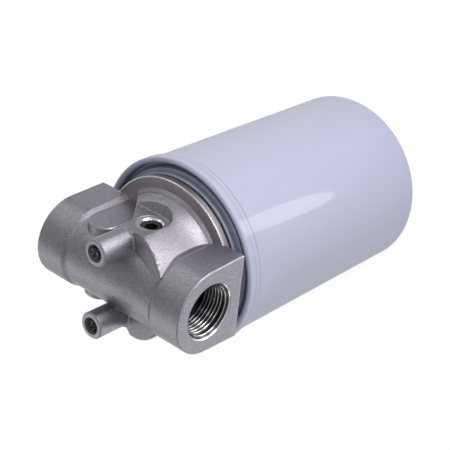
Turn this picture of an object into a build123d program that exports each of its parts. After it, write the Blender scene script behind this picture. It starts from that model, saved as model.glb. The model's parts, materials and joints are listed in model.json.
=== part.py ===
from build123d import *
import os
from math import acos, atan2, cos, degrees, pi, radians, sin, tan

os.makedirs("parts", exist_ok=True)

# Frame: millimetres, +Z up the axis of the can, Z = 0 on its closed end, ports along X,
# gauge ports and mounting pillars along Y.

# Can: deep-drawn steel shell with a wider band and a rolled rim at its open end
can_height = 168.0
can_radius = 57.5
can_wall = 0.9
can_corner = 2.5
base_rim_width = 13.5
base_panel_depth = 1.2
rim_step = 1.4
rim_band_height = 9.3
rim_shoulder = 1.3
rim_shoulder_bend = 0.7
rim_roll_radius = 1.7
rim_lip_width = 3.5
rim_lip_depth = 3.6
sheet_bend = 1.2

# Cover ring: pressed ring seamed under the rolled rim, with the channel for the gasket
cover_thickness = 1.0
seam_gap = 0.1
valley_depth = 6.2
valley_width = 5.5
valley_slope = 1.4
ledge_width = 1.8
ledge_drop = 2.1
channel_rim_rise = 1.3
channel_depth = 5.3
channel_width = 10.8
channel_lip_height = 2.6
cover_bend = 0.8
hem_gap = 0.2

# Gasket: square-cut rubber ring in the channel
gasket_gap = 0.05
gasket_corner = 0.6
gasket_stand = 1.3

# Thread plate: thick pressed plate with a hub and a ring of inlet holes
plate_thickness = 5.0
plate_margin = 7.5
plate_corner = 1.2
hub_radius = 25.5
hub_length = 16.5
hub_blend = 1.0
inlet_count = 8
inlet_radius = 4.2
inlet_circle = 33.0

# Nipple: threaded steel tube pressed into the head and screwed into the hub
nipple_radius = 20.2
nipple_bore = 16.6
nipple_grip = 16.0
nipple_seat = 0.02
nipple_bevel = 1.0
thread_run_gap = 0.05
thread_engagement = 11.5

# Filter element: end caps, slotted tube, folded media with its seam clip, and the hub seal
element_top_gap = 4.0
element_bottom = 22.5
cap_thickness = 0.8
cap_margin = 7.1
cap_lip = 5.0
cap_bend = 0.9
tube_radius = 31.0
tube_wall = 1.0
slot_columns = 10
slot_rows = 6
slot_width = 5.0
slot_length = 10.0
pleat_count = 54
pleat_thickness = 0.6
pleat_gap = 0.3
pleat_rim_gap = 1.0
pleat_tip = 1.05
pleat_root = 0.8
bend_steps = 3
clip_thickness = 0.4
clip_depth = 8.0
clip_gap = 0.05
seal_wall = 3.2
seal_height = 7.6
seal_groove = 1.2
seal_gap = 0.05
seal_lead = 1.3

# Bypass valve on the lower end cap
valve_hole_radius = 9.5
valve_seat_width = 3.0
valve_seat_height = 1.2
poppet_radius = 12.0
poppet_thickness = 1.6
poppet_boss_radius = 4.2
poppet_boss_height = 3.0
stem_radius = 2.4
stem_reach = 2.0
guide_clearance = 0.06
guide_height = 3.0
guide_bend = 1.0
valve_spring_radius = 7.0
valve_spring_wire = 1.3
valve_spring_length = 18.0
valve_spring_turns = 5.0
cage_radius = 17.0
cage_thickness = 1.0
cage_foot = 3.5
cage_bend = 1.2
cage_windows = 4
cage_window_width = 14.0
cage_window_margin = 3.5

# Element spring and the pressed ring that it pushes
seat_ring_inner = 16.0
seat_ring_outer = 37.0
seat_ring_thickness = 1.0
seat_ring_lip = 4.0
spring_wire = 2.6
spring_radius = 31.0
spring_turns = 3.0

# Head: flange, drum-shaped chamber, neck, two port bosses and two pads
flange_margin = 9.5
flange_thickness = 4.7
flange_bevel = 0.5
neck_radius = 24.3
boss_radius = 25.7
boss_inner_x = 36.3
boss_flare = 0.9
boss_slope = 3.0
boss_back_drop = 1.7
boss_back_edge = 1.2
port_face_x = 56.7
port_height = 24.0
face_bevel = 0.6
drum_base_radius = 41.6
drum_flare_radius = 38.4
drum_flare_height = 5.2
drum_flare_x = 1.2
drum_shoulder_radius = 36.5
drum_shoulder_height = 12.0
drum_shoulder_x = 2.6
drum_waist_radius = 35.7
drum_waist_height = 20.0
drum_waist_x = 4.0
drum_rim_radius = 34.8
drum_rim_height = 36.0
drum_radius = 33.9
drum_x = 5.5
drum_height = 60.0
drum_root = 0.9
drum_front_x = 7.0
drum_front_height = 35.7
drum_front_slope = 0.25
drum_left_x = -26.4
drum_knee_x = -15.0
drum_knee_height = 13.0
drum_wall_x = -9.0
drum_wall_height = 20.0
drum_tip_x = 1.5
drum_edge = 1.6
drum_corner = 2.4
pad_left_x = -32.4
pad_right_x = -12.6
pad_height = 24.9
pad_low_height = 22.8
pad_reach = 15.0
pad_edge = 0.7

# Mounting pillars with tapped holes, M8
pillar_spacing = 47.0
pillar_radius = 8.1
pillar_height = 58.0
pillar_edge = 0.8
pillar_root_radius = 9.2
pillar_root_height = 35.6
pillar_root_blend = 1.1
pillar_thread_radius = 4.0
pillar_thread_depth = 16.0
pillar_mouth_radius = 5.2
drill_point = 118.0

# Port threads, G1, and gauge ports, G1/4, with their socket plugs
port_thread_radius = 16.62
port_thread_depth = 20.0
port_mouth_radius = 17.6
passage_radius = 13.0
gauge_x = 4.6
gauge_height = 19.6
gauge_face = 31.3
gauge_recess_radius = 10.4
gauge_recess_reach = 16.0
gauge_recess_draft = 18.0
gauge_recess_blend = 0.9
gauge_spot_radius = 9.4
gauge_spot_depth = 0.3
gauge_bore_radius = 6.3
gauge_mouth_radius = 7.2
gauge_bore_depth = 13.0
gauge_feed_radius = 2.5
plug_clearance = 0.02
plug_sink = 1.6
plug_length = 9.0
plug_bevel = 0.9
plug_hex = 7.0
plug_socket_depth = 5.0

# Passages inside the head
chamber_inner_radius = 25.5
chamber_outer_radius = 34.0
chamber_top_radius = 30.5
chamber_height = 18.0
chamber_step = 1.8
pocket_left_x = 14.5
outlet_end_x = 14.5
inlet_start_x = 20.0
outlet_radius = 15.0

# Radii and levels worked out from the sizes above
rim_radius = can_radius + rim_step
rim_lip_radius = rim_radius - rim_lip_width
base_panel_radius = can_radius - base_rim_width
valley_radius = rim_radius - valley_width
ledge_radius = valley_radius - valley_slope
channel_rim_radius = ledge_radius - ledge_width
channel_inner_radius = channel_rim_radius - channel_width
plate_radius = can_radius - plate_margin
cap_radius = can_radius - cap_margin
flange_radius = rim_radius - flange_margin
valley_floor = can_height - valley_depth
channel_rim = can_height + channel_rim_rise
channel_floor = channel_rim - channel_depth
flange_base = channel_rim + gasket_stand
flange_top = flange_base + flange_thickness
plate_top = channel_floor - cover_thickness
plate_base = plate_top - plate_thickness
nipple_end = plate_top - thread_engagement
nipple_top = flange_base + nipple_grip
port_z = flange_top + port_height
gauge_z = flange_top + gauge_height
pillar_top = flange_top + pillar_height
element_top = plate_base - element_top_gap
media_top = element_top - cap_thickness
base_inside = base_panel_depth + can_wall
seat_top = element_bottom - cap_thickness
poppet_level = element_bottom + valve_seat_height
valve_spring_base = poppet_level + poppet_thickness
valve_spring_top = valve_spring_base + valve_spring_length
cage_top = valve_spring_top + cage_thickness
hem_radius = channel_rim_radius - 2 * cover_thickness - hem_gap
seal_radius = hub_radius + seal_gap + seal_wall
cap_hole_radius = seal_radius - seal_groove
sides = (1, -1)
overlap = 1.0
reach = 80.0


def rounded_line(corners):
    """Open line through (x, y, corner radius) points."""
    points = [(x, y) for x, y, bend in corners]
    return FilletPolyline(*points, radius=[bend for x, y, bend in corners[1:-1]])


def turned(corners):
    """Solid turned about the upright axis from a closed (radius, height, corner radius) section."""
    points = [(x, y) for x, y, bend in corners]
    bends = [bend for x, y, bend in corners]
    return revolve(Plane.XZ * make_face(FilletPolyline(*points, radius=bends, close=True)), Axis.Z)


def pressed(corners, thickness):
    """Round sheet pressing, from the middle line of its section."""
    return revolve(Plane.XZ * trace(rounded_line(corners), thickness), Axis.Z)


def disc(radius, bottom, top, x=0.0, y=0.0):
    """Upright cylinder between two levels."""
    return Pos(x, y, bottom) * extrude(Circle(radius), top - bottom)


def ring(outer, inner, bottom, top):
    """Upright tube between two levels."""
    return Pos(0, 0, bottom) * extrude(Circle(outer) - Circle(inner), top - bottom)


def cone(bottom_radius, top_radius, bottom, top, x=0.0, y=0.0):
    """Upright cone frustum between two levels."""
    height = top - bottom
    solid = Cone(bottom_radius, top_radius, height, align=(Align.CENTER, Align.CENTER, Align.MIN))
    return Pos(x, y, bottom) * solid


def bar(radius, start, end):
    """Cylinder on the port axis between two places along X."""
    place = Plane(origin=(start, 0, port_z), x_dir=(0, 1, 0), z_dir=(1, 0, 0))
    return place * extrude(Circle(radius), end - start)


def block(x, y, z):
    """Box between pairs of limits."""
    size = [high - low for low, high in (x, y, z)]
    return Pos(x[0], y[0], z[0]) * Box(*size, align=(Align.MIN, Align.MIN, Align.MIN))


def coil(radius, wire, bottom, top, turns):
    """Compression spring whose wire lies between two levels."""
    rise = top - bottom - wire
    path = Pos(0, 0, bottom + wire / 2) * Helix(pitch=rise / turns, height=rise, radius=radius)
    section = Plane(origin=path @ 0, z_dir=path % 0) * Circle(wire / 2)
    return sweep(section, path=path, is_frenet=True)


def polar(radius, angle):
    return Vector(radius * cos(angle), radius * sin(angle))


def can_shell():
    """Drawn shell: recessed base, straight wall, wider band and rim rolled inwards."""
    middle = can_wall / 2
    step = can_height - rim_band_height
    top = can_height - middle
    roll = rim_roll_radius - middle
    return pressed(
        [
            (0, base_panel_depth + middle, 0),
            (base_panel_radius - 2 * sheet_bend, base_panel_depth + middle, sheet_bend),
            (base_panel_radius, middle, sheet_bend),
            (can_radius - middle, middle, can_corner - middle),
            (can_radius - middle, step, rim_shoulder_bend),
            (rim_radius - middle, step + rim_shoulder, rim_shoulder_bend),
            (rim_radius - middle, top, roll),
            (rim_lip_radius + middle, top, roll),
            (rim_lip_radius + middle, can_height - rim_lip_depth, 0),
        ],
        can_wall,
    )


def cover_ring():
    """Pressed ring: edge under the rim, valley, ledge, hem and gasket channel."""
    middle = cover_thickness / 2
    edge = rim_radius - can_wall - seam_gap - middle
    hem_outer = channel_rim_radius - middle
    hem_inner = hem_radius + middle
    hem_bend = (hem_outer - hem_inner) / 2.02
    ledge = can_height - ledge_drop - middle
    floor = channel_floor - middle
    return pressed(
        [
            (edge, can_height - rim_roll_radius, 0),
            (edge, valley_floor - middle, cover_bend),
            (valley_radius - middle, valley_floor - middle, cover_bend),
            (ledge_radius - middle, ledge, cover_bend),
            (hem_outer, ledge, middle),
            (hem_outer, channel_rim - middle, hem_bend),
            (hem_inner, channel_rim - middle, hem_bend),
            (hem_inner, floor, cover_bend),
            (channel_inner_radius + middle, floor, cover_bend),
            (channel_inner_radius + middle, floor + channel_lip_height, 0),
        ],
        cover_thickness,
    )


def gasket():
    """Rubber ring that fills the channel and stands above its rim."""
    inner = channel_inner_radius + cover_thickness + gasket_gap
    outer = hem_radius - gasket_gap
    return turned(
        [
            (inner, channel_floor, gasket_corner),
            (outer, channel_floor, gasket_corner),
            (outer, flange_base, gasket_corner),
            (inner, flange_base, gasket_corner),
        ]
    )


def thread_plate():
    """Plate with a threaded hub in the middle and inlet holes around it."""
    bore = nipple_radius + thread_run_gap
    plate = turned(
        [
            (bore, plate_top - hub_length, 0),
            (hub_radius, plate_top - hub_length, 0),
            (hub_radius, plate_base, hub_blend),
            (plate_radius, plate_base, plate_corner),
            (plate_radius, plate_top, 0),
            (bore, plate_top, 0),
        ]
    )
    inlet = disc(inlet_radius, plate_base - overlap, plate_top + overlap)
    return plate - [spot * inlet for spot in PolarLocations(inlet_circle, inlet_count)]


def nipple():
    """Threaded tube with bevelled ends."""
    tube = ring(nipple_radius, nipple_bore, nipple_end, nipple_top)
    ends = tube.edges().filter_by(GeomType.CIRCLE).sort_by(SortBy.RADIUS)[-2:]
    return chamfer(ends, nipple_bevel)


def end_cap(hole, level, lip_end):
    """Sheet cap with its rim folded over the ends of the pleats."""
    edge = cap_radius - cap_thickness / 2
    return pressed([(hole, level, 0), (edge, level, cap_bend), (edge, lip_end, 0)], cap_thickness)


def hub_seal():
    """Rubber ring on the hub, grooved for the edge of the upper cap."""
    inner = hub_radius + seal_gap
    groove = cap_hole_radius - seal_gap
    body = turned(
        [
            (inner, plate_base - seal_height, 0),
            (seal_radius, plate_base - seal_height, 0),
            (seal_radius, plate_base, 0),
            (inner + seal_lead, plate_base, 0),
            (inner, plate_base - seal_lead, 0),
        ]
    )
    return body - ring(seal_radius + overlap, groove, media_top - seal_gap, element_top + seal_gap)


def center_tube():
    """Tube with rows of slots, each row turned by half a space."""
    tube = ring(tube_radius, tube_radius - tube_wall, element_bottom, media_top)
    depth = (tube_radius - 2 * tube_wall, tube_radius + tube_wall)
    slot = block(depth, (-slot_width / 2, slot_width / 2), (0, slot_length))
    space = (media_top - element_bottom - slot_rows * slot_length) / (slot_rows + 1)
    slots = []
    for row in range(slot_rows):
        level = element_bottom + space + row * (slot_length + space)
        for column in range(slot_columns):
            turn = (column + row % 2 / 2) * 360 / slot_columns
            slots.append(Pos(0, 0, level) * Rot(0, 0, turn) * slot)
    return tube - slots


def fold_shape():
    """Centres of the outer and inner bends of one fold, and the direction square to its wall."""
    half = pi / pleat_count
    outer = cap_radius - cap_thickness - pleat_rim_gap - pleat_thickness / 2
    inner = tube_radius + pleat_gap + pleat_thickness / 2
    tip = polar(outer - pleat_tip, 0)
    root = polar(inner + pleat_root, half)
    run = root - tip
    normal = atan2(run.Y, run.X) % (2 * pi) - acos((pleat_tip + pleat_root) / run.length)
    return tip, root, normal


def fold_line(shift):
    """Closed zigzag through all folds, at a distance from the middle of the sheet."""
    half = pi / pleat_count
    tip, root, normal = fold_shape()
    steps = [step / bend_steps for step in range(bend_steps + 1)]
    fold = [tip + polar(pleat_tip + shift, normal * (2 * part - 1)) for part in steps]
    fold += [root + polar(pleat_root - shift, pi + half + (normal - half) * (1 - 2 * part)) for part in steps]
    turns = [degrees(2 * half * index) for index in range(pleat_count)]
    return Polyline(*[point.rotate(Axis.Z, turn) for turn in turns for point in fold], close=True)


def media():
    """Pleated sheet between the end caps."""
    section = make_face(fold_line(pleat_thickness / 2)) - make_face(fold_line(-pleat_thickness / 2))
    return Pos(0, 0, element_bottom) * extrude(section, media_top - element_bottom)


def pleat_clip():
    """Thin folded strip over one pleat, where the ends of the sheet meet."""
    tip, root, normal = fold_shape()
    bend = pleat_tip + pleat_thickness / 2 + clip_gap + clip_thickness / 2
    side = tip + polar(bend, normal)
    end = side + polar(clip_depth, normal + pi / 2)
    mirror = [Vector(point.X, -point.Y) for point in (side, end)]
    crest = tip + polar(bend, 0)
    line = Line(end, side) + ThreePointArc(side, crest, mirror[0]) + Line(*mirror)
    section = trace(line, clip_thickness)
    return Pos(0, 0, element_bottom) * extrude(section, media_top - element_bottom)


def bypass_cage():
    """Pressed cup with flow windows, a foot and a guide collar for the stem."""
    middle = cage_thickness / 2
    wall = cage_radius - middle
    guide = stem_radius + guide_clearance + middle
    cup = pressed(
        [
            (cage_radius + cage_foot, element_bottom + middle, 0),
            (wall, element_bottom + middle, cage_bend),
            (wall, cage_top - middle, cage_bend),
            (guide, cage_top - middle, guide_bend),
            (guide, cage_top + guide_height, 0),
        ],
        cage_thickness,
    )
    levels = (element_bottom + cage_window_margin, cage_top - cage_window_margin)
    window = block((poppet_radius, cage_radius + cage_foot), (-cage_window_width / 2, cage_window_width / 2), levels)
    return cup - [Rot(0, 0, index * 360 / cage_windows) * window for index in range(cage_windows)]


def bypass_poppet():
    """Valve plate with a boss and a guided stem."""
    boss_top = valve_spring_base + poppet_boss_height
    stem_top = cage_top + guide_height + stem_reach
    return turned(
        [
            (0, poppet_level, 0),
            (poppet_radius, poppet_level, 0),
            (poppet_radius, valve_spring_base, 0),
            (poppet_boss_radius, valve_spring_base, 0),
            (poppet_boss_radius, boss_top, 0),
            (stem_radius, boss_top, 0),
            (stem_radius, stem_top, 0),
            (0, stem_top, 0),
        ]
    )


def spring_seat():
    """Pressed ring between the element spring and the lower end cap."""
    middle = seat_ring_thickness / 2
    edge = seat_ring_outer - middle
    level = seat_top - middle
    corners = [(seat_ring_inner, level, 0), (edge, level, cap_bend), (edge, level - seat_ring_lip, 0)]
    return pressed(corners, seat_ring_thickness)


def arch_section(radius, back, flare=0.0):
    """U-section across the port axis, with its height as the second axis."""
    foot = radius + flare
    front = ThreePointArc((-radius, port_z), (0, port_z + radius), (radius, port_z))
    return make_face(front + Polyline((radius, port_z), (foot, back), (-foot, back), (-radius, port_z)))


def port_arch(radius, start, end, back, flare=0.0):
    """U-section body along X: round in front of the port axis, straight or flared sides back to a level."""
    return Pos(start) * extrude(Plane.YZ * arch_section(radius, back, flare), end - start)


def port_boss():
    """Boss of the inlet side, with rounded back edges, a bevelled face and a slope down to the neck."""
    back = flange_top - boss_back_drop
    boss = port_arch(boss_radius, boss_inner_x, port_face_x, back, boss_flare)
    edges = boss.edges().filter_by(Axis.X).group_by(Axis.Z)[0]
    boss = fillet(edges, boss_back_edge)
    boss = chamfer(boss.faces().sort_by(Axis.X)[-1].outer_wire().edges(), face_bevel)
    high = Plane.YZ * arch_section(boss_radius, back, boss_flare)
    low = Plane.YZ * arch_section(neck_radius, flange_top)
    return boss + loft([Pos(boss_inner_x) * high, Pos(boss_inner_x - boss_slope) * low], ruled=True)


def drum():
    """Tapered round chamber, off centre, with a slanted front, a stepped outlet side and a small root."""
    rings = [
        (drum_base_radius, 0, flange_top),
        (drum_flare_radius, drum_flare_x, flange_top + drum_flare_height),
        (drum_shoulder_radius, drum_shoulder_x, flange_top + drum_shoulder_height),
        (drum_waist_radius, drum_waist_x, flange_top + drum_waist_height),
        (drum_rim_radius, drum_x, flange_top + drum_rim_height),
        (drum_radius, drum_x, flange_top + drum_height),
    ]
    body = loft([Pos(x, 0, level) * Circle(radius) for radius, x, level in rings])
    root = cone(drum_base_radius + drum_root, drum_base_radius - drum_root, flange_top, flange_top + 2 * drum_root)
    front = flange_top + drum_front_height
    outline = Polyline(
        (drum_left_x, flange_top),
        (drum_knee_x, flange_top + drum_knee_height),
        (drum_wall_x, flange_top + drum_wall_height),
        (drum_tip_x, front + drum_front_slope * (drum_tip_x - drum_front_x)),
        (reach, front + drum_front_slope * (reach - drum_front_x)),
        (reach, flange_top),
        close=True,
    )
    side_view = extrude(Plane.XZ * make_face(outline), reach, both=True)
    body = body & side_view
    stepped = body.edges().filter_by(lambda edge: edge.center().X < 0 and abs(edge.center().Y) > neck_radius)
    body = fillet(stepped, drum_corner)
    rim = body.faces().sort_by(Axis.Z)[-1].outer_wire().edges()
    return fillet(rim, drum_edge) + (root & side_view)


def pads():
    """Flat pads on both long sides of the neck, with round front ends."""
    radius = (pad_right_x - pad_left_x) / 2
    middle = pad_left_x + radius
    top = port_z + pad_reach - radius
    plan = Pos(middle, top) * Circle(radius)
    plan += Pos(middle, (top + flange_top) / 2) * Rectangle(2 * radius, top - flange_top)
    pad = extrude(Plane.XZ * plan, pad_low_height) + extrude(Plane.XZ * plan, -pad_height)
    rims = [pad.faces().sort_by(Axis.Y)[place].outer_wire().edges() for place in (0, -1)]
    return chamfer(rims[0] + rims[1], pad_edge)


def pillar(side):
    """Round mounting pillar with a blended root."""
    y = side * pillar_spacing / 2
    root = flange_top + pillar_root_height
    post = disc(pillar_radius, port_z, pillar_top, y=y)
    post = chamfer(post.edges().sort_by(Axis.Z)[-1], pillar_edge)
    foot = disc(pillar_root_radius, port_z, root, y=y)
    return post + foot + cone(pillar_root_radius, pillar_radius, root, root + pillar_root_blend, y=y)


def tapped_hole(side):
    """Blind hole of a pillar: bevelled mouth, thread bore and drill point."""
    y = side * pillar_spacing / 2
    bottom = pillar_top - pillar_thread_depth
    point = pillar_thread_radius / tan(radians(drill_point / 2))
    mouth = pillar_mouth_radius - pillar_thread_radius
    hole = disc(pillar_thread_radius, bottom, pillar_top + overlap, y=y)
    hole += cone(0, pillar_thread_radius, bottom - point, bottom, y=y)
    return hole + cone(pillar_thread_radius, pillar_mouth_radius, pillar_top - mouth, pillar_top, y=y)


def port_bore(side):
    """Threaded port and the passage behind it, on one side of the head."""
    face = side * port_face_x
    end = face - side * port_thread_depth
    inner = inlet_start_x if side > 0 else outlet_end_x
    mouth = port_mouth_radius - port_thread_radius
    bore = bar(port_thread_radius, *sorted((face, end))) + bar(passage_radius, *sorted((end, inner)))
    place = Plane(origin=(face, 0, port_z), x_dir=(0, 1, 0), z_dir=(-side, 0, 0))
    bevel = Cone(port_mouth_radius, port_thread_radius, mouth, align=(Align.CENTER, Align.CENTER, Align.MIN))
    return bore + place * bevel


def gauge_place(side, depth=0.0):
    """Plane on the floor of a gauge recess, looking out along Y."""
    origin = (gauge_x, side * (gauge_face - depth), gauge_z)
    return Plane(origin=origin, x_dir=(-1, 0, 0), z_dir=(0, side, 0))


def gauge_recess(side):
    """Drafted recess around a gauge port, open towards the outlet and the front, with a rounded root."""
    radius = gauge_recess_radius
    length = reach / 2
    plan = Circle(radius) + Pos(length / 2, 0) * Rectangle(length, 2 * radius)
    plan += Pos((length - radius) / 2, side * gauge_recess_reach / 2) * Rectangle(length + radius, gauge_recess_reach)
    recess = gauge_place(side) * extrude(plan, pillar_radius, taper=-gauge_recess_draft)
    floor = recess.faces().sort_by(Axis.Y)[0 if side > 0 else -1]
    return fillet(floor.edges(), gauge_recess_blend)


def gauge_cut(side):
    """Recess and spot face with the gauge bore and its feed drilling."""
    spot = gauge_place(side, gauge_spot_depth) * extrude(Circle(gauge_spot_radius), overlap)
    bore = gauge_place(side, gauge_bore_depth) * extrude(Circle(gauge_bore_radius), gauge_bore_depth)
    feed = gauge_place(side, gauge_face) * extrude(Circle(gauge_feed_radius), gauge_face - gauge_bore_depth)
    mouth = gauge_mouth_radius - gauge_bore_radius
    up = (Align.CENTER, Align.CENTER, Align.MIN)
    bevel = gauge_place(side, gauge_spot_depth + mouth) * Cone(gauge_bore_radius, gauge_mouth_radius, mouth, align=up)
    return [gauge_recess(side), spot, bore, bevel, feed]


def gauge_plug(side):
    """Socket plug sunk in the gauge bore."""
    place = gauge_place(side, gauge_spot_depth + plug_sink + plug_length)
    plug = place * extrude(Circle(gauge_bore_radius - plug_clearance), plug_length)
    face = plug.faces().sort_by(Axis.Y)[-1 if side > 0 else 0]
    plug = chamfer(face.outer_wire().edges(), plug_bevel)
    socket = gauge_place(side, gauge_spot_depth + plug_sink + plug_socket_depth)
    hexagon = RegularPolygon(plug_hex / 2, 6, major_radius=False)
    return plug - socket * extrude(hexagon, plug_socket_depth)


def inlet_pocket():
    """Annular pocket above the inlet holes: shallow all round, deep on the inlet side."""
    top = flange_top + chamber_height
    pocket = cone(chamber_outer_radius, chamber_top_radius, flange_base, top)
    pocket -= disc(chamber_inner_radius, flange_base, top)
    pocket = pocket & block((pocket_left_x, reach), (-reach, reach), (flange_base, top))
    return pocket + ring(chamber_outer_radius, chamber_inner_radius, flange_base, flange_base + chamber_step)


def filter_head():
    """Cast head: solid forms joined, then the machined and cored openings cut."""
    flange = disc(flange_radius, flange_base, flange_top)
    flange = chamfer(flange.edges(), flange_bevel)
    boss = port_boss()
    neck = port_arch(neck_radius, -boss_inner_x, boss_inner_x, flange_top)
    head = flange + neck + boss + mirror(boss, Plane.YZ) + drum() + pads()
    for side in sides:
        head += pillar(side)
    for side in sides:
        head -= gauge_cut(side)
        head -= tapped_hole(side)
        head -= port_bore(side)
    head -= inlet_pocket()
    head -= disc(nipple_radius + nipple_seat, flange_base, nipple_top)
    return head - disc(outlet_radius, nipple_top, port_z)


nodes = {
    "can": can_shell(),
    "cover_ring": cover_ring(),
    "gasket": gasket(),
    "thread_plate": thread_plate(),
    "threaded_nipple": nipple(),
    "upper_end_cap": end_cap(cap_hole_radius, element_top - cap_thickness / 2, element_top - cap_lip),
    "lower_end_cap": end_cap(valve_hole_radius, element_bottom - cap_thickness / 2, seat_top + cap_lip),
    "element_grommet": hub_seal(),
    "center_tube": center_tube(),
    "pleated_media": media(),
    "pleat_clip": pleat_clip(),
    "bypass_seal": ring(
        valve_hole_radius + valve_seat_width, valve_hole_radius, element_bottom, poppet_level
    ),
    "bypass_poppet": bypass_poppet(),
    "bypass_spring": coil(
        valve_spring_radius, valve_spring_wire, valve_spring_base, valve_spring_top, valve_spring_turns
    ),
    "bypass_cage": bypass_cage(),
    "spring_seat": spring_seat(),
    "element_spring": coil(
        spring_radius, spring_wire, base_inside, seat_top - seat_ring_thickness, spring_turns
    ),
    "filter_head": filter_head(),
    "gauge_plug_top": gauge_plug(1),
    "gauge_plug_bottom": gauge_plug(-1),
}
for name, shape in nodes.items():
    export_step(shape, f"parts/{name}.step")
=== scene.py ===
import json
import math

import bmesh
import bpy
from mathutils import Matrix, Vector


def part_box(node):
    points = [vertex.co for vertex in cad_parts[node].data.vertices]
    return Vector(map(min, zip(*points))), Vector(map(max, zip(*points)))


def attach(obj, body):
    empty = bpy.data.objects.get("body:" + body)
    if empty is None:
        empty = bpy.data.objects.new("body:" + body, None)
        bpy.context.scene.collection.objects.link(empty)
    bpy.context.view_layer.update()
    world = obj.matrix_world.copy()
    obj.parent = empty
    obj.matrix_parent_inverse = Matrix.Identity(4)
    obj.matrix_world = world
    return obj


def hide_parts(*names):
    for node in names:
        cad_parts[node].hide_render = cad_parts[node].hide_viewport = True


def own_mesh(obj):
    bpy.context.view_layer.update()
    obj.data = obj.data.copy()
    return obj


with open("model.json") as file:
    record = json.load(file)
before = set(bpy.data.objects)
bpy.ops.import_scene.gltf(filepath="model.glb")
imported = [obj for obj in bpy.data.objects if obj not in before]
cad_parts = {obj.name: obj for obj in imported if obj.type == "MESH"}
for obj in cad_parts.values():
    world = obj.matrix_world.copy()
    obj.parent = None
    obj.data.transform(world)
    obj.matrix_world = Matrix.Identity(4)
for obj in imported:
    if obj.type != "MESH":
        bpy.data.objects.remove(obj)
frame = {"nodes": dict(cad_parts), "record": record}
nodes = frame["nodes"]
mounts = {mount["name"]: mount for mount in frame["record"]["mounts"]}
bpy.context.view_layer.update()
print("frame loaded")

mm = 0.001


def metres(lengths):  # from millimetres
    return tuple(length * mm for length in lengths)


# places on the head, worked out from the frame in metres
headLow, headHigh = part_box("filter_head")
plugLow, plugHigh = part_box("gauge_plug_top")
portFace = headHigh[0]
headBase = headLow[2]
headTop = headHigh[2]
portHeight = mounts["inlet_port"]["pos_m"][2]
gaugeX = (plugLow[0] + plugHigh[0]) / 2
gaugeHeight = (plugLow[2] + plugHigh[2]) / 2
pillarAway = mounts["pillar_holes"]["dims"]["spacing_y_mm"] / 2 * mm
plugFace = plugHigh[1]


class Value:  # one output socket, usable in Python sums
    def __init__(self, shader, socket):
        self.shader = shader
        self.socket = socket

    def part(self, name):  # another output of the same node
        return Value(self.shader, self.socket.node.outputs[name])

    def math(self, operation, *others):
        return self.shader.node("ShaderNodeMath", {"operation": operation}, dict(enumerate((self,) + others)))

    def flipped(self, operation, other):
        return self.shader.node("ShaderNodeMath", {"operation": operation}, {0: other, 1: self})

    def __add__(self, other):
        return self.math("ADD", other)

    def __radd__(self, other):
        return self.flipped("ADD", other)

    def __sub__(self, other):
        return self.math("SUBTRACT", other)

    def __rsub__(self, other):
        return self.flipped("SUBTRACT", other)

    def __mul__(self, other):
        return self.math("MULTIPLY", other)

    def __rmul__(self, other):
        return self.flipped("MULTIPLY", other)

    def __abs__(self):
        return self.math("ABSOLUTE")

    def above(self, edge, soft):  # 0 below the edge, 1 above it, smooth over the soft width
        return self.shader.node(
            "ShaderNodeMapRange",
            {"interpolation_type": "SMOOTHSTEP"},
            {"Value": self, "From Min": edge - soft / 2, "From Max": edge + soft / 2},
        )

    def below(self, edge, soft):
        return 1 - self.above(edge, soft)

    def near(self, middle, half, soft):  # 1 within the half width of the middle
        return abs(self - middle).below(half, soft)


class Graph:  # a node tree, with one method that adds nodes
    def __init__(self, tree):
        self.tree = tree
        tree.nodes.clear()

    def node(self, kind, settings=None, values=None):
        node = self.tree.nodes.new(kind)
        for key, setting in (settings or {}).items():
            setattr(node, key, setting)
        for key, value in (values or {}).items():
            self.feed(node.inputs[key], value)
        return Value(self, node.outputs[0] if len(node.outputs) else None)

    def feed(self, socket, value):
        if isinstance(value, Value):
            self.tree.links.new(value.socket, socket)
        elif socket.type == "RGBA":
            socket.default_value = (*value, 1.0)
        else:
            socket.default_value = value

    def mix(self, factor, first, second):  # colours
        mixed = self.node("ShaderNodeMix", {"data_type": "RGBA"}, {0: factor}).socket.node
        self.feed(mixed.inputs[6], first)
        self.feed(mixed.inputs[7], second)
        return Value(self, mixed.outputs[2])

    def split(self, vector):
        parts = self.node("ShaderNodeSeparateXYZ", {}, {0: vector})
        return parts, parts.part("Y"), parts.part("Z")


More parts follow.
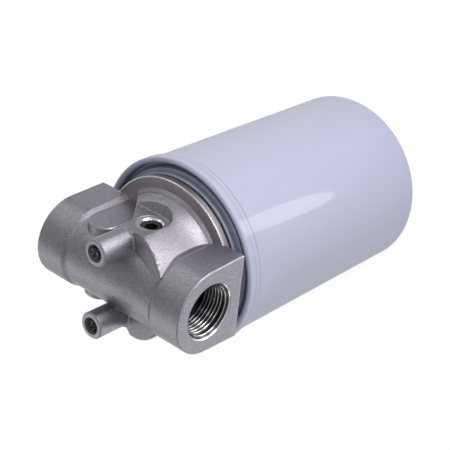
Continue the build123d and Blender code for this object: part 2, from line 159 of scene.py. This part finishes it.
class Finish(Graph):  # the material of one finish
    def __init__(self, name, **constants):
        self.material = bpy.data.materials.new(name)
        self.material.use_nodes = True
        super().__init__(self.material.node_tree)
        self.surface = self.node("ShaderNodeBsdfPrincipled").socket.node
        self.node("ShaderNodeOutputMaterial", {}, {"Surface": Value(self, self.surface.outputs[0])})
        self.place = self.node("ShaderNodeTexCoord").part("Object")
        self.set(**constants)

    def set(self, **values):
        for key, value in values.items():
            self.feed(self.surface.inputs[key.replace("_", " ")], value)

    def noise(self, size, detail=2.0, roughness=0.5, stretch=(1, 1, 1)):  # size of a blotch in millimetres
        mapped = self.node("ShaderNodeMapping", {}, {"Vector": self.place, "Scale": stretch})
        values = {"Vector": mapped, "Scale": 1 / (size * mm), "Detail": detail, "Roughness": roughness}
        return self.node("ShaderNodeTexNoise", {}, values)

    def pits(self, space, radius, share):  # 1 in round pits, which a share of the cells holds
        cells = self.node("ShaderNodeTexVoronoi", {}, {"Vector": self.place, "Scale": 1 / (space * mm)})
        picked = self.split(cells.part("Color"))[0].below(share, 0.01)
        return cells.below(radius / space, 0.6 * radius / space) * picked

    def bump(self, height, depth, under=None):  # depth in millimetres
        values = {"Height": height, "Distance": depth * mm}
        if under is not None:
            values["Normal"] = under
        return self.node("ShaderNodeBump", {}, values)

    def softEdges(self, radius):  # rounded edges, radius in millimetres
        return self.node("ShaderNodeBevel", {"samples": 6}, {"Radius": radius * mm})

    def edgeShare(self, rounded):  # 0 on flat ground, more where the rounded edge turns away
        faced = self.node("ShaderNodeNewGeometry").part("Normal")
        dot = self.node("ShaderNodeVectorMath", {"operation": "DOT_PRODUCT"}, {0: rounded, 1: faced})
        return 1 - dot.part("Value")


def away(first, second, middle):  # distance from an axis that crosses two coordinates at the middle
    across, up = first - middle[0], second - middle[1]
    return (across * across + up * up).math("SQRT")


def dress(material, *names):
    for name in names:
        slots = nodes[name].data.materials
        slots.clear()
        slots.append(material)


# The cast head: grey casting with machined faces, spot faces and mouths. Lengths are in millimetres, an Edge
# is the level where a mask begins with its soft width, and a Share is how far a colour covers those under it
headLook = {
    "grey": (0.355, 0.331, 0.376),
    "dark": (0.24, 0.225, 0.257),
    "shade": (0.112, 0.11, 0.138),
    "brown": (0.44, 0.405, 0.43),
    "machined": (0.52, 0.50, 0.54),
    "bright": (0.86, 0.86, 0.88),
    "insideShade": (0.10, 0.095, 0.10),
    "pit": (0.03, 0.028, 0.03),
    "stain": (0.22, 0.17, 0.13),
    "metallic": 0.85,
    "cloudSize": 16.0,  # broad grey and dark clouds
    "cloudEdge": (0.5, 0.5),
    "cloudLeast": 0.45,
    "cloudSpread": 0.35,
    "patchSize": 4.0,  # paler patches over them
    "patchEdge": (0.58, 0.25),
    "patchShare": 0.12,
    "grain": 0.5,  # sand grain, as specks and as relief
    "grainHeight": 0.6,
    "grainDepth": 0.09,
    "fineGrain": 0.25,
    "fineHeight": 0.1,
    "paleSpeckEdge": (0.54, 0.14),
    "darkSpeckEdge": (0.45, 0.14),
    "speckShare": 0.65,
    "scratchBend": 7.0,
    "scratchLine": (0.5, 0.005, 0.006),  # level, half width and soft width
    "scratchPatch": 11.0,
    "scratchEdge": (0.55, 0.06),
    "scratchShare": 0.3,
    "pitSpace": 6.0,
    "pitRadius": 0.45,
    "pitCells": 0.14,
    "pitHeight": 4.0,
    "rounding": 0.6,  # of all edges, which are also paler, partly as wear and partly as painted highlight
    "wearAndHighlightEdge": (0.06, 0.10),
    "wearAndHighlightShare": 0.7,
    "flangeThickness": 4.7,
    "flangeRadius": 49.4,
    "flangeFoot": 0.3,  # how far its brown climbs the casting
    "flangeShare": 0.75,
    "flangeRim": 0.6,  # the bright turned edge of the flange
    "flangeRimShare": 0.6,
    "flangeRimGap": 2.0,  # from the port faces
    "spotRadius": 9.4,  # spot face and mouth of a gauge port
    "spotAway": 1.8,  # outward from the plug's face
    "spotReach": 1.2,
    "mouthRadius": 7.2,
    "portMouth": 17.4,
    "portBevel": 1.0,
    "portFaceShare": 0.4,
    "pillarMouth": 5.3,
    "pillarEndShare": 0.3,
    "turnedShare": 0.35,
    "turnedHeight": 0.02,
    "sideEdge": (0.95, 0.08),  # how squarely a flat faces along Y to be shaded
    "sideShare": 0.6,
    "stainPlace": (-37.0, 6.0, 224.0),
    "stainRadius": 4.0,
    "stainEdge": (0.45, 0.2),
    "stainShare": 0.5,
    "drumX": 5.5,
    "drumFront": 33.95,  # above the flange at the axis
    "drumSlope": 0.25,
    "darkLineBand": (34.3, 1.6, 0.4),  # radius from the drum's axis, half width and soft width
    "darkLineNear": (0.6, 0.3),  # under the drum's front, with a soft width
    "darkLineFar": (1.5, 0.5),
    "darkLineRagged": 6.4,
    "darkLineSize": 2.2,
    "darkLineShare": 0.55,
    "roughness": 0.45,
    "grainRoughness": 0.12,
    "turnedGloss": 0.08,
    "brightGloss": 0.30,
    "portFaceGloss": 0.06,
}


def stainAndDarkLine(finish, look, flangeTop, patch):
    # a brown stain on one boss, and a ragged dark line along the crease under the edge of the drum's sloping
    # front
    x, y, z = finish.split(finish.place)
    points = {0: finish.place, 1: metres(look["stainPlace"])}
    offset = finish.node("ShaderNodeVectorMath", {"operation": "DISTANCE"}, points)
    stain = offset.part("Value").below(look["stainRadius"] * mm, look["stainRadius"] * mm)
    under = look["drumSlope"] * x + (flangeTop + look["drumFront"] * mm) - z
    fromDrum = away(x, y, (look["drumX"] * mm, 0))
    darkLine = under.above(*metres(look["darkLineNear"])) * fromDrum.near(*metres(look["darkLineBand"]))
    ragged = (finish.noise(look["darkLineSize"], detail=3.0) - 0.5) * look["darkLineRagged"] * mm
    darkLine = darkLine * (under - ragged).below(*metres(look["darkLineFar"]))
    return stain * patch.above(*look["stainEdge"]) * look["stainShare"], darkLine * look["darkLineShare"]


def castAluminium():
    look = headLook
    crisp, soft = 0.1 * mm, 0.2 * mm
    finish = Finish("castAluminium", Metallic=look["metallic"])
    x, y, z = finish.split(finish.place)
    cloud = finish.noise(look["cloudSize"], detail=4.0)
    patch = finish.noise(look["patchSize"], detail=3.0)
    speck = finish.noise(look["grain"], roughness=0.6)
    coarse = finish.noise(look["grain"] * 3)
    fine = finish.noise(look["fineGrain"], detail=1.0)
    scratch = finish.noise(look["scratchBend"], detail=1.0).near(*look["scratchLine"])
    scratch = scratch * finish.noise(look["scratchPatch"]).above(*look["scratchEdge"])
    rounded = finish.softEdges(look["rounding"])
    wearAndHighlight = finish.edgeShare(rounded).above(*look["wearAndHighlightEdge"])
    pit = finish.pits(look["pitSpace"], look["pitRadius"], look["pitCells"])

    # where the casting is machined, shaded or bright
    flangeTop = headBase + look["flangeThickness"] * mm
    flange = z.below(flangeTop + look["flangeFoot"] * mm, soft)
    flangeRim = flange * z.above(flangeTop - look["flangeRim"] * mm, crisp)
    flangeRim = flangeRim * away(x, y, (0, 0)).near(look["flangeRadius"] * mm, look["flangeRim"] * mm, soft)
    flangeRim = flangeRim * abs(x).below(portFace - look["flangeRimGap"] * mm, soft)
    fromGauge = away(x, z, (gaugeX, gaugeHeight))
    atGauge = abs(y).near(plugFace + look["spotAway"] * mm, look["spotReach"] * mm, soft)
    spotFace = fromGauge.below(look["spotRadius"] * mm, crisp) * atGauge
    gaugeMouth = fromGauge.below(look["mouthRadius"] * mm, crisp) * atGauge
    portFaces = abs(x).above(portFace - crisp, crisp / 2)
    inPort = away(y, z, (0, portHeight)).below(look["portMouth"] * mm, crisp)
    portMouths = inPort * abs(x).above(portFace - look["portBevel"] * mm, crisp)
    inPillar = away(x, abs(y), (0, pillarAway)).below(look["pillarMouth"] * mm, crisp)
    inPillar = inPillar * z.above(flangeTop, mm)
    pillarEnds = z.above(headTop - crisp, crisp)
    turned = spotFace.math("MAXIMUM", pillarEnds * look["pillarEndShare"])
    bright = gaugeMouth.math("MAXIMUM", portMouths).math("MAXIMUM", flangeRim * look["flangeRimShare"])
    rough = 1 - turned.math("MAXIMUM", bright)
    facing = finish.split(finish.node("ShaderNodeTexCoord").part("Normal"))[1]
    side = abs(facing).above(*look["sideEdge"])
    stain, darkLine = stainAndDarkLine(finish, look, flangeTop, patch)

    greyShare = look["cloudLeast"] + look["cloudSpread"] * cloud.above(*look["cloudEdge"])
    color = finish.mix(greyShare, look["dark"], look["grey"])
    layers = (
        (patch.above(*look["patchEdge"]) * look["patchShare"], "machined"),
        (speck.above(*look["paleSpeckEdge"]) * look["speckShare"], "machined"),
        (speck.below(*look["darkSpeckEdge"]) * look["speckShare"], "dark"),
        (scratch * look["scratchShare"], "bright"),
        (flange * look["flangeShare"], "brown"),
        # painted shade on flats that face along Y and on the port faces
        (side * look["sideShare"] + portFaces * look["portFaceShare"], "shade"),
        (turned * look["turnedShare"], "machined"),
        # paler along rounded edges, concave ones too: partly wear, partly painted highlight
        (wearAndHighlight * (1 - portFaces) * look["wearAndHighlightShare"], "machined"),
        # painted shade inside the port bores and pillar holes
        (inPort.math("MAXIMUM", inPillar), "insideShade"),
        (bright, "bright"),
        (stain, "stain"),
        (darkLine, "pit"),
        (pit * rough, "pit"),
    )
    for share, layer in layers:
        color = finish.mix(share, color, look[layer])
    gloss = look["turnedGloss"] * turned + look["brightGloss"] * bright + look["portFaceGloss"] * portFaces
    relief = (speck + coarse) * look["grainHeight"]
    relief = relief * (look["turnedHeight"] + (1 - look["turnedHeight"]) * rough)
    relief = relief + fine * rough * look["fineHeight"] - pit * rough * look["pitHeight"]
    finish.set(
        Base_Color=color,
        Roughness=look["roughness"] + look["grainRoughness"] * rough * (coarse - 0.5) - gloss,
        Normal=finish.bump(relief, look["grainDepth"], under=rounded),
    )
    return finish.material


# The painted can
canLook = {
    "color": (0.468, 0.48, 0.625),
    "cloudTone": 0.97,
    "cloudSize": 9.0,
    "seam": (0.20, 0.205, 0.28),
    "seams": ((158.0, 1.0, 1.0), (162.8, 1.6, 0.4)),  # height, width and strength of each crease line, which is pressed in and darkened with painted shade
    "seamShare": 0.5,
    "seamDepth": 0.12,
    "roughness": 0.36,
    "specular": 0.06,
    "coat": 0.6,
    "coatRoughness": 0.06,
    "grazingEdge": (0.78, 0.4),
    "grazingLoss": 0.95,
    "rippleSize": 26.0,
    "rippleDepth": 0.03,
    "peelSize": 1.6,
    "peelShare": 0.05,
    "rounding": 0.4,
}


def canPaint():
    look = canLook
    finish = Finish("canPaint", Coat_Roughness=look["coatRoughness"], Specular_IOR_Level=look["specular"])
    ripple = finish.noise(look["rippleSize"], detail=1.0, stretch=(1, 1, 0.25))
    cloud = finish.noise(look["cloudSize"])
    peel = finish.noise(look["peelSize"], detail=1.0)
    facing = finish.node("ShaderNodeLayerWeight", {}, {"Blend": 0.5}).part("Facing")
    grazing = facing.above(*look["grazingEdge"])
    height = finish.split(finish.place)[2]
    # painted shade along the crease lines of the rim, which the bump also presses in
    seam = 0
    for middle, width, strength in look["seams"]:
        seam = height.near(middle * mm, width / 2 * mm, width * mm) * strength + seam
    color = finish.mix(cloud, look["color"], tuple(look["cloudTone"] * part for part in look["color"]))
    pressed = finish.bump(1 - seam, look["seamDepth"], under=finish.softEdges(look["rounding"]))
    finish.set(
        Base_Color=finish.mix(seam * look["seamShare"], color, look["seam"]),
        Roughness=look["roughness"] + look["peelShare"] * (peel - 0.5),
        Coat_Weight=look["coat"] * (1 - look["grazingLoss"] * grazing),
        Normal=finish.bump(peel * look["peelShare"] + ripple, look["rippleDepth"], under=pressed),
    )
    return finish.material


# Finishes with two tones and one grain: the ring in the can's rim, seals, plated steel, springs and plugs
ringLook = {
    "name": "ringPaint", "dark": (0.26, 0.29, 0.38), "pale": (0.38, 0.41, 0.50), "metallic": 0.35,
    "tone": {"size": 7.0, "detail": 3.0}, "grain": {"size": 0.8},
    "roughness": 0.28, "grainRoughness": 0.1, "grainDepth": 0.01, "rounding": 0.3,
}
rubberLook = {
    "name": "blackRubber", "dark": (0.012, 0.012, 0.013), "pale": (0.03, 0.03, 0.032), "metallic": 0.0,
    "tone": {"size": 0.7}, "grain": {"size": 0.7},
    "roughness": 0.6, "grainRoughness": 0.2, "grainDepth": 0.02, "rounding": 0.0,
}
platedLook = {
    "name": "platedSteel", "dark": (0.55, 0.56, 0.58), "pale": (0.68, 0.68, 0.66), "metallic": 1.0,
    "tone": {"size": 11.0, "detail": 3.0}, "grain": {"size": 1.2, "stretch": (1, 1, 0.1)},
    "roughness": 0.26, "grainRoughness": 0.12, "grainDepth": 0.006, "rounding": 0.2,
}
springLook = {
    "name": "springSteel", "dark": (0.16, 0.16, 0.17), "pale": (0.30, 0.30, 0.31), "metallic": 1.0,
    "tone": {"size": 2.5, "detail": 3.0}, "grain": {"size": 2.5, "detail": 3.0},
    "roughness": 0.35, "grainRoughness": 0.2, "grainDepth": 0.01, "rounding": 0.0,
}
plugLook = {
    "name": "blackSteel", "dark": (0.012, 0.012, 0.013), "pale": (0.035, 0.035, 0.035), "metallic": 0.6,
    "tone": {"size": 2.0}, "grain": {"size": 2.0},
    "roughness": 0.28, "grainRoughness": 0.2, "grainDepth": 0.006, "rounding": 0.2,
}


def grained(look):
    finish = Finish(look["name"], Metallic=look["metallic"])
    grain = finish.noise(**look["grain"])
    under = finish.softEdges(look["rounding"]) if look["rounding"] else None
    finish.set(
        Base_Color=finish.mix(finish.noise(**look["tone"]), look["dark"], look["pale"]),
        Roughness=look["roughness"] + look["grainRoughness"] * grain,
        Normal=finish.bump(grain, look["grainDepth"], under=under),
    )
    return finish.material


# The pleats
paperLook = {
    "shade": (0.72, 0.64, 0.45),
    "pale": (0.86, 0.80, 0.64),
    "roughness": 0.85,
    "fibreSize": 0.5,
    "fibreShare": 0.6,
    "fibreDepth": 0.05,
    "cloudSize": 12.0,
}


def filterPaper():
    look = paperLook
    finish = Finish("filterPaper", Roughness=look["roughness"])
    fibre = finish.noise(look["fibreSize"], detail=4.0, stretch=(1, 1, 0.35))
    cloud = finish.noise(look["cloudSize"])
    paleShare = look["fibreShare"] * fibre + (1 - look["fibreShare"]) * cloud
    finish.set(
        Base_Color=finish.mix(paleShare, look["shade"], look["pale"]),
        Normal=finish.bump(fibre, look["fibreDepth"]),
    )
    return finish.material


# Threads of the ports and of the pillars in millimetres: start is the depth under the face round the bore,
# seat is how far a ridge reaches into the wall, steps are counted per turn and lead is in turns
portThread = {
    "pitch": 2.309, "wall": 16.60, "crest": 15.15, "seat": 0.3,
    "start": 4.3, "length": 15.3, "steps": 90, "lead": 0.3,
}
pillarThread = {
    "pitch": 1.25, "wall": 3.99, "crest": 3.35, "seat": 0.3,
    "start": 1.4, "length": 12.4, "steps": 36, "lead": 0.3,
}

# The cut metal of those threads: painted highlight on pale crests over painted shade in dark roots, more
# painted shade towards the bottom of a port, and painted glints in the pillars
cutLook = {
    "pale": (0.80, 0.80, 0.83),
    "dark": (0.07, 0.07, 0.075),
    "deep": (0.035, 0.035, 0.04),
    "crestWidth": 0.3,
    "crestLeast": 0.6,
    "streakSize": 1.0,
    "deepAt": 12.0,
    "deepSoft": 16.0,
    "deepRadius": 18.0,
    "deepShare": 0.9,
    "paintedGlintRise": 20.0,  # above the ports' axis, so only in the pillars
    "paintedGlintEdge": (0.64, 0.06),
    "roughness": 0.14,
    "streakRoughness": 0.08,
    "reliefSize": 0.6,
    "reliefDepth": 0.002,
}


def cutAluminium():
    look = cutLook
    finish = Finish("cutAluminium", Metallic=1.0)
    x, y, z = finish.split(finish.place)
    fromPort = away(y, z, (0, portHeight))
    streak = finish.noise(look["streakSize"])
    crest = fromPort.below((portThread["crest"] + look["crestWidth"]) * mm, look["crestWidth"] * mm)
    deep = abs(x).below(portFace - look["deepAt"] * mm, look["deepSoft"] * mm)
    deep = deep * fromPort.below(look["deepRadius"] * mm, mm)
    paintedGlint = z.above(portHeight + look["paintedGlintRise"] * mm, mm) * streak.above(*look["paintedGlintEdge"])
    # painted highlight on the crests over painted shade in the roots, painted shade deeper in a port, painted
    # glints in the pillars
    paleShare = crest * (look["crestLeast"] + (1 - look["crestLeast"]) * streak)
    color = finish.mix(paleShare, look["dark"], look["pale"])
    color = finish.mix(deep * look["deepShare"], color, look["deep"])
    finish.set(
        Base_Color=finish.mix(paintedGlint, color, look["pale"]),
        Roughness=look["roughness"] + look["streakRoughness"] * streak,
        Normal=finish.bump(finish.noise(look["reliefSize"]), look["reliefDepth"]),
    )
    return finish.material


cutMetal = cutAluminium()
springMetal = grained(springLook)
dress(castAluminium(), "filter_head")
dress(canPaint(), "can")
dress(grained(ringLook), "cover_ring")
dress(grained(rubberLook), "gasket", "element_grommet", "bypass_seal")
dress(grained(platedLook), "thread_plate", "threaded_nipple", "upper_end_cap", "lower_end_cap", "center_tube",
      "pleat_clip", "bypass_poppet", "bypass_cage", "spring_seat")
dress(springMetal, "element_spring")
dress(filterPaper(), "pleated_media")
dress(grained(plugLook), "gauge_plug_top", "gauge_plug_bottom")
print("materials done")


def skin(name, rows, material, body, closed=False, smooth=True):
    # a tube through rows of points, its ends joined or capped
    bm = bmesh.new()
    rings = [[bm.verts.new(point) for point in row] for row in rows]
    for before, row in zip(rings, rings[1:] + rings[:1] * closed):
        for index, vert in enumerate(row):
            bm.faces.new((before[index - 1], before[index], vert, row[index - 1])).smooth = smooth
    if not closed:
        bm.faces.new(rings[0])
        bm.faces.new(list(reversed(rings[-1])))
    bmesh.ops.recalc_face_normals(bm, faces=bm.faces)
    mesh = bpy.data.meshes.new(name)
    bm.to_mesh(mesh)
    bm.free()
    mesh.materials.append(material)
    piece = bpy.data.objects.new(name, mesh)
    bpy.context.collection.objects.link(piece)
    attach(piece, body)
    return piece


def outwardAt(turn):  # turn in whole turns
    return Vector((math.cos(turn * math.tau), math.sin(turn * math.tau), 0))


# points across one ridge, each a share of the pitch and of its height, and how much of the pitch it fills
ridgeShape = ((-0.5, 0.0), (-0.38, 0.12), (-0.13, 0.9), (0.0, 1.0), (0.13, 0.9), (0.38, 0.12), (0.5, 0.0))
ridgeFill = 0.999


def thread(name, place, look):
    # an inner thread: one ridge that winds along +Z of the place, seated in the wall of its bore
    pitch, wall = look["pitch"], look["wall"]
    tall = wall - look["crest"]
    steps = round(look["length"] / pitch * look["steps"])
    rows = []
    for step in range(steps + 1):
        turn = step / look["steps"]
        lead = min(1, turn / look["lead"], (steps - step) / look["steps"] / look["lead"])
        section = [(wall - tall * height * lead, along) for along, height in ridgeShape]
        section += [(wall + look["seat"], along) for along in (0.5, -0.5)]
        depths = [look["start"] + pitch * (turn + along * ridgeFill) for _, along in section]
        rows.append([place @ ((outwardAt(turn) * radius + Vector((0, 0, depth))) * mm)
                     for (radius, _), depth in zip(section, depths)])
    skin(name, rows, cutMetal, "head")


def mouth(name, place, look):
    # the cone and the plain land between a port's mouth and its thread
    wall, crest = look["wall"], look["crest"]
    seat = wall + look["seat"]
    cone = headLook["portMouth"] - wall
    land = look["start"] - look["pitch"] / 2
    section = ((seat, cone), (wall, cone), (crest, cone + wall - crest), (crest, land), (seat, land))
    rows = [[place @ ((outwardAt(step / look["steps"]) * radius + Vector((0, 0, depth))) * mm)
             for radius, depth in section] for step in range(look["steps"])]
    skin(name, rows, cutMetal, "head", closed=True, smooth=False)


def ports():
    for name, side in (("inlet", 1), ("outlet", -1)):
        turn = Matrix.Rotation(-side * math.pi / 2, 4, "Y")
        place = Matrix.Translation((side * portFace, 0, portHeight)) @ turn
        thread(name + "Thread", place, portThread)
        mouth(name + "Mouth", place, portThread)


def pillars():
    for name, side in (("upperPillarThread", 1), ("lowerPillarThread", -1)):
        place = Matrix.Translation((0, side * pillarAway, headTop)) @ Matrix.Rotation(math.pi, 4, "X")
        thread(name, place, pillarThread)


# The bypass valve's spring in millimetres, with steps per turn and sides round the wire
springShape = {"radius": 7.0, "wire": 1.3, "turns": 5, "steps": 36, "sides": 12, "travel": 5.0}


def valveSpring():
    # a coil between the poppet and the top of its cage
    look = springShape
    half = look["wire"] / 2 * mm
    bottom, top = (corner[2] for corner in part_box("bypass_spring"))
    rise = top - bottom - 2 * half
    steps = look["turns"] * look["steps"]
    angles = [side / look["sides"] * math.tau for side in range(look["sides"])]
    rows = []
    for step in range(steps + 1):
        outward = outwardAt(step / look["steps"])
        middle = outward * look["radius"] * mm
        middle.z = bottom + half + rise * step / steps
        rows.append([middle + half * (math.cos(angle) * outward + Vector((0, 0, math.sin(angle))))
                     for angle in angles])
    spring = skin("valveSpring", rows, springMetal, "cartridge")
    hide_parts("bypass_spring")
    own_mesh(spring)


ports()
pillars()
valveSpring()
print("threads and spring done")


# Floor, lamps and camera
floorLook = {"color": (0.85, 0.85, 0.85), "roughness": 0.9, "glow": 0.58, "size": 6.0}


def stage():
    look = floorLook
    corners = [(x * look["size"], y * look["size"], 0) for x, y in ((-1, -1), (1, -1), (1, 1), (-1, 1))]
    mesh = bpy.data.meshes.new("floor")
    mesh.from_pydata(corners, [], [(0, 1, 2, 3)])
    floor = bpy.data.objects.new("floor", mesh)
    bpy.context.collection.objects.link(floor)
    finish = Finish("paleFloor", Roughness=look["roughness"], Emission_Strength=look["glow"])
    ray = finish.node("ShaderNodeLightPath")
    seen = ray.part("Is Camera Ray")
    for kind in ("Is Glossy Ray", "Is Transmission Ray"):
        seen = seen.math("MAXIMUM", ray.part(kind))
    finish.set(Base_Color=look["color"], Emission_Color=finish.mix(seen, (0, 0, 0), (1, 1, 1)))
    mesh.materials.append(finish.material)


# A lamp with a turn is a card: it lies flat and only shines in gloss, its long side turned from +X in degrees
lamps = {
    "tallBox": {"at": (0.32, 0.48, 0.13), "to": (0, 0, 0.17), "size": (0.42, 0.24), "power": 1.85},
    "backFill": {"at": (-0.40, 0.58, 0.50), "to": (0, 0, 0.19), "size": (0.3, 0.3), "power": 0.25},
    "leftFill": {"at": (-0.36, -0.50, 0.66), "to": (0, 0, 0.2), "size": (0.5, 0.5), "power": 0.75},
    "rightFill": {"at": (0.45, -0.55, 0.30), "to": (0, 0, 0.12), "size": (0.3, 0.3), "power": 0.2},
    "frontBox": {"at": (0.42, 0.36, 0.56), "to": (0, 0, 0.2), "size": (0.35, 0.12), "power": 0.5},
    "streakCard": {"at": (0.183, 0.129, 0.001), "size": (0.196, 0.060), "power": 0.105, "turn": 44},
    "lowCard": {"at": (0.29, -0.20, 0.001), "size": (0.34, 0.34), "power": 0.11, "turn": -27},
    "farCard": {"at": (0.037, 0.076, 0.001), "size": (0.04, 0.013), "power": 0.0006, "turn": 71},
}


def lamp(name, look):
    card = "turn" in look
    data = bpy.data.lights.new(name, "AREA")
    data.shape = "ELLIPSE" if card else "RECTANGLE"
    data.size, data.size_y = look["size"]
    data.energy = look["power"]
    start = Vector(look["at"])
    placed = bpy.data.objects.new(name, data)
    if card:
        aim = Matrix.Rotation(math.radians(look["turn"]), 4, "Z") @ Matrix.Rotation(math.pi, 4, "X")
        placed.visible_diffuse = False
    else:
        aim = (Vector(look["to"]) - start).to_track_quat("-Z", "Y").to_matrix().to_4x4()
    placed.matrix_world = Matrix.Translation(start) @ aim
    placed.visible_camera = False
    bpy.context.collection.objects.link(placed)


airLook = {"horizon": 0.50, "zenith": 0.30, "fadeEdge": (0.55, 1.1)}


def studioAir():
    look = airLook
    world = bpy.data.worlds.new("studioAir")
    world.use_nodes = True
    air = Graph(world.node_tree)
    height = air.split(air.node("ShaderNodeTexCoord"))[2]
    color = air.mix(height.above(*look["fadeEdge"]), (look["horizon"],) * 3, (look["zenith"],) * 3)
    color = air.mix(air.node("ShaderNodeLightPath").part("Is Camera Ray"), color, (1, 1, 1))
    background = air.node("ShaderNodeBackground", {}, {"Color": color})
    air.node("ShaderNodeOutputWorld", {}, {"Surface": background})
    bpy.context.scene.world = world


cameraLook = {
    "place": (0.3969, 0.3427, 0.6189),
    "right": (0.7431, 0.0973, -0.6620),
    "up": (-0.3786, 0.8770, -0.2960),
    "back": (0.5518, 0.4706, 0.6885),
    "lens": 93.6,
    "sensor": 36.0,
    "nearest": 0.01,
}


def camera():
    look = cameraLook
    data = bpy.data.cameras.new("camera")
    data.sensor_width = look["sensor"]
    data.lens = look["lens"]
    data.clip_start = look["nearest"]
    placed = bpy.data.objects.new("camera", data)
    turn = Matrix((look["right"], look["up"], look["back"])).transposed().to_4x4()
    placed.matrix_world = Matrix.Translation(look["place"]) @ turn
    bpy.context.collection.objects.link(placed)
    bpy.context.scene.camera = placed


stage()
studioAir()
for name, look in lamps.items():
    lamp(name, look)
camera()
bpy.context.scene.view_settings.view_transform = "Standard"
print("stage done")
